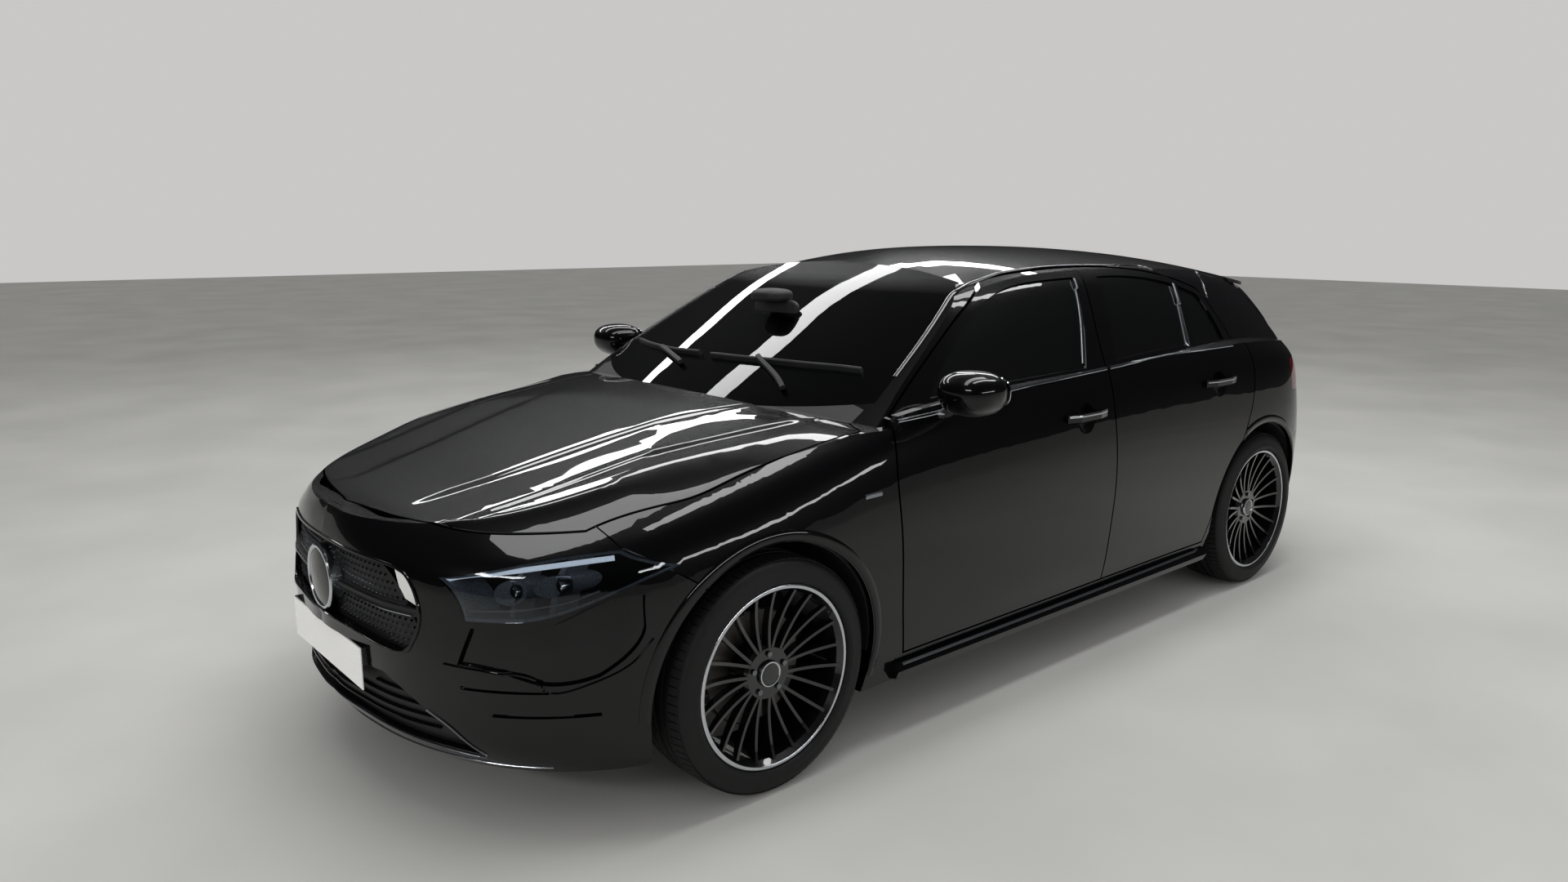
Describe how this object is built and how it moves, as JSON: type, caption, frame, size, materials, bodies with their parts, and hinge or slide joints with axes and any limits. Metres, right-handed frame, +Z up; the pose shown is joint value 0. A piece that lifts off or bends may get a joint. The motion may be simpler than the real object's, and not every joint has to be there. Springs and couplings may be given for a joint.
{
  "type": "five-door hatchback car",
  "caption": "Five-door compact hatchback with opening doors, hood and tailgate, steered front wheels, free-rolling wheels, hollow glazed cabin and seats.",
  "frame": {"origin": "on the ground under the middle of the car, half way along its length and width", "axes": "+X forward, +Y to the car's left, +Z up"},
  "size_m": [4.429, 2.096, 1.442],
  "materials": {
    "black_paint": "deep gloss clear coat",
    "satin_plastic": "fine grain",
    "gloss_trim": "piano black",
    "clear_glass": "polished",
    "tinted_glass": "polished, dark tint",
    "lamp_cover": "clear moulded cover",
    "lamp_housing": "dark with bright reflectors",
    "red_lamp": "moulded red cover",
    "grille_chrome": "bright",
    "alloy": "gloss black with a machined edge",
    "tyre_rubber": "matt side wall",
    "steel": "bare and coated steel",
    "iron": "cast",
    "under_sheet": "sealed underside",
    "dash_plastic": "soft grain",
    "seat_leather": "black, stitched",
    "plate_white": "blank reflective sheet"
  },
  "bodies": {
    "body": {"front_bumper": "black_paint", "front_fenders": "black_paint", "cowl": "satin_plastic", "rear_bumper": "black_paint", "roof": "black_paint", "side_frame_left": "black_paint", "side_frame_right": "black_paint", "windscreen": "clear_glass", "grille": "grille_chrome", "lower_grille": "gloss_trim", "headlamps": "lamp_housing", "headlamp_lenses": "lamp_cover", "tail_lamps_outer": "red_lamp", "front_suspension": "steel", "rear_axle": "steel", "floor": "under_sheet", "wheel_arch_liners": "satin_plastic", "engine": "iron", "exhaust": "steel", "dashboard": "dash_plastic", "front_seats": "seat_leather", "rear_bench": "seat_leather", "number_plates": "plate_white"},
    "hood": {"hood": "black_paint"},
    "tailgate": {"tailgate": "black_paint", "rear_glass": "tinted_glass", "tail_lamps_inner": "red_lamp"},
    "door_fl": {"door_front_left": "black_paint", "glass_front_left": "tinted_glass", "mirror_left": "gloss_trim"},
    "door_fr": {"door_front_right": "black_paint", "glass_front_right": "tinted_glass", "mirror_right": "gloss_trim"},
    "door_rl": {"door_rear_left": "black_paint", "glass_rear_left": "tinted_glass"},
    "door_rr": {"door_rear_right": "black_paint", "glass_rear_right": "tinted_glass"},
    "knuckle_l": {"knuckle_left": "iron"},
    "knuckle_r": {"knuckle_right": "iron"},
    "wheel_fl": {"wheel_front_left": "alloy", "tyre_front_left": "tyre_rubber"},
    "wheel_fr": {"wheel_front_right": "alloy", "tyre_front_right": "tyre_rubber"},
    "wheel_rl": {"wheel_rear_left": "alloy", "tyre_rear_left": "tyre_rubber"},
    "wheel_rr": {"wheel_rear_right": "alloy", "tyre_rear_right": "tyre_rubber"},
    "steering": {"steering_wheel": "seat_leather"}
  },
  "joints": [
    {"name": "door_front_left_hinge", "type": "hinge", "parent": "body", "child": "door_fl", "pos_m": [0.856, 0.898, 0.6], "axis": [0, 0, 1], "range_deg": [-65, 0]},
    {"name": "door_front_right_hinge", "type": "hinge", "parent": "body", "child": "door_fr", "pos_m": [0.856, -0.898, 0.6], "axis": [0, 0, 1], "range_deg": [0, 65]},
    {"name": "door_rear_left_hinge", "type": "hinge", "parent": "body", "child": "door_rl", "pos_m": [-0.256, 0.898, 0.6], "axis": [0, 0, 1], "range_deg": [-65, 0]},
    {"name": "door_rear_right_hinge", "type": "hinge", "parent": "body", "child": "door_rr", "pos_m": [-0.256, -0.898, 0.6], "axis": [0, 0, 1], "range_deg": [0, 65]},
    {"name": "hood_hinge", "type": "hinge", "parent": "body", "child": "hood", "pos_m": [0.93, 0, 0.985], "axis": [0, 1, 0], "range_deg": [-55, 0]},
    {"name": "tailgate_hinge", "type": "hinge", "parent": "body", "child": "tailgate", "pos_m": [-1.7, 0, 1.36], "axis": [0, 1, 0], "range_deg": [0, 75]},
    {"name": "steer_left", "type": "hinge", "parent": "body", "child": "knuckle_l", "pos_m": [1.329, 0.728, 0.205], "axis": [0, -0.2504, 0.9681], "range_deg": [-32, 32]},
    {"name": "steer_right", "type": "hinge", "parent": "body", "child": "knuckle_r", "pos_m": [1.329, -0.728, 0.205], "axis": [0, 0.2504, 0.9681], "range_deg": [-32, 32]},
    {"name": "spin_front_left", "type": "hinge", "parent": "knuckle_l", "child": "wheel_fl", "pos_m": [1.329, 0.7835, 0.331], "axis": [0, 1, 0], "continuous": true},
    {"name": "spin_front_right", "type": "hinge", "parent": "knuckle_r", "child": "wheel_fr", "pos_m": [1.329, -0.7835, 0.331], "axis": [0, 1, 0], "continuous": true},
    {"name": "spin_rear_left", "type": "hinge", "parent": "body", "child": "wheel_rl", "pos_m": [-1.4, 0.779, 0.331], "axis": [0, 1, 0], "continuous": true},
    {"name": "spin_rear_right", "type": "hinge", "parent": "body", "child": "wheel_rr", "pos_m": [-1.4, -0.779, 0.331], "axis": [0, 1, 0], "continuous": true},
    {"name": "steering_wheel_turn", "type": "hinge", "parent": "body", "child": "steering", "pos_m": [0.47, 0.37, 0.8], "axis": [0.9272, 0, -0.3746], "range_deg": [-450, 450]}
  ],
  "couplings": [
    {"joint": "steer_right", "follows": "steer_left", "ratio": 1},
    {"joint": "steering_wheel_turn", "follows": "steer_left", "ratio": 14}
  ]
}
